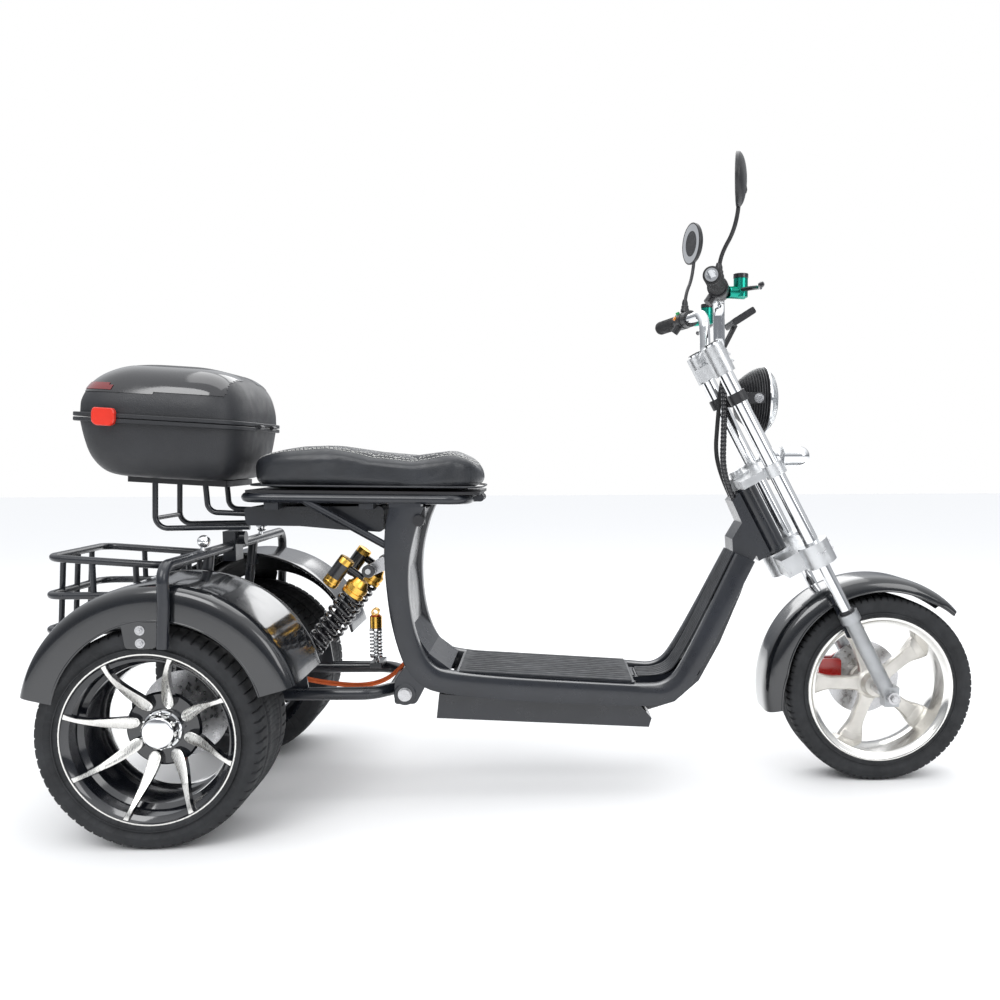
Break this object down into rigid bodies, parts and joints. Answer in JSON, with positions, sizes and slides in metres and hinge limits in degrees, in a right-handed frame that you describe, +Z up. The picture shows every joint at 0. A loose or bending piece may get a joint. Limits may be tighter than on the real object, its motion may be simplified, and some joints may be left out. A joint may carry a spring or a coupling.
{
  "type": "electric three-wheel scooter",
  "caption": "Step-through electric three-wheel scooter with a long seat, twin rear wheels, raked fork, top box and rear basket.",
  "frame": {"origin": "on the ground below the middle of the scooter's bounding box", "axes": "+X towards the front wheel, +Y to the rider's left, +Z up"},
  "size_m": [2.046, 0.828, 1.331],
  "materials": {
    "frame_black": "semi-gloss",
    "fender_black": "gloss",
    "bright_chrome": "polished",
    "cast_silver": "satin",
    "front_rim_alloy": "satin",
    "rear_rim_black": "gloss",
    "tyre_rubber": "matte",
    "disc_steel": "brushed",
    "mat_rubber": "matte",
    "box_plastic": "textured",
    "seat_vinyl": "satin",
    "clear_lens": "clear",
    "black_plastic": "satin",
    "cable_rubber": "satin",
    "motor_lead": "satin",
    "shock_finish": "gloss",
    "caliper_red": "gloss",
    "signal_lens": "gloss"
  },
  "bodies": {
    "frame": {"frame_rail_left": "frame_black", "frame_rail_right": "frame_black", "head_frame": "frame_black", "seat_post": "frame_black", "battery_tray": "frame_black", "battery_block": "black_plastic", "front_mat": "mat_rubber", "seat_frame": "frame_black", "under_seat_box": "frame_black", "top_box_base": "box_plastic", "box_rack": "frame_black", "rear_axle": "frame_black", "swing_arm": "frame_black", "frame_pins": "disc_steel", "rear_shocks": "shock_finish", "small_damper": "shock_finish", "cross_beam": "frame_black", "rear_fender_left": "fender_black", "rear_fender_right": "fender_black", "rear_signals": "bright_chrome", "rear_basket": "frame_black", "motor_cables": "motor_lead", "seat_lock": "black_plastic"},
    "steering": {"fork_tubes": "bright_chrome", "fork_legs": "cast_silver", "front_axle": "disc_steel", "lower_clamp": "cast_silver", "middle_clamp": "cast_silver", "handlebar": "bright_chrome", "upper_clamp": "cast_silver", "grips": "mat_rubber", "bar_controls": "black_plastic", "mirrors": "black_plastic", "display": "black_plastic", "headlight": "black_plastic", "headlight_lens": "clear_lens", "front_signals": "signal_lens", "front_fender": "fender_black", "front_caliper": "caliper_red", "steering_cables": "cable_rubber"},
    "front_wheel": {"front_tyre": "tyre_rubber", "front_rim": "front_rim_alloy", "front_brake_disc": "disc_steel"},
    "rear_wheel_left": {"rear_tyre_left": "tyre_rubber", "rear_rim_left": "rear_rim_black", "rear_disc_left": "disc_steel"},
    "rear_wheel_right": {"rear_tyre_right": "tyre_rubber", "rear_rim_right": "rear_rim_black", "rear_disc_right": "disc_steel"},
    "seat": {"seat_base": "black_plastic", "seat_cushion": "seat_vinyl"},
    "box_lid": {"top_box_lid": "box_plastic"},
    "battery_cover": {"floor_cover": "frame_black", "floor_mat": "mat_rubber"}
  },
  "joints": [
    {"name": "steering", "type": "hinge", "parent": "frame", "child": "steering", "pos_m": [0.53605, 0, 0.60129], "axis": [-0.4679, 0, 0.8838], "range_deg": [-32, 32], "deforming": ["steering_cables"]},
    {"name": "front_wheel_spin", "type": "hinge", "parent": "steering", "child": "front_wheel", "pos_m": [0.809, 0, 0.214], "axis": [0, 1, 0], "continuous": true},
    {"name": "rear_wheel_left_spin", "type": "hinge", "parent": "frame", "child": "rear_wheel_left", "pos_m": [-0.711, 0.282, 0.214], "axis": [0, 1, 0], "continuous": true},
    {"name": "rear_wheel_right_spin", "type": "hinge", "parent": "frame", "child": "rear_wheel_right", "pos_m": [-0.711, -0.282, 0.214], "axis": [0, 1, 0], "continuous": true},
    {"name": "seat_hinge", "type": "hinge", "parent": "frame", "child": "seat", "pos_m": [-0.099, 0, 0.655], "axis": [0, 1, 0], "range_deg": [0, 65]},
    {"name": "box_lid_hinge", "type": "hinge", "parent": "frame", "child": "box_lid", "pos_m": [-0.57428, 0, 0.81189], "axis": [0, 1, 0], "range_deg": [0, 70]},
    {"name": "battery_cover_hinge", "type": "hinge", "parent": "frame", "child": "battery_cover", "pos_m": [0.243, 0, 0.246], "axis": [0, 1, 0], "range_deg": [0, 60]}
  ]
}
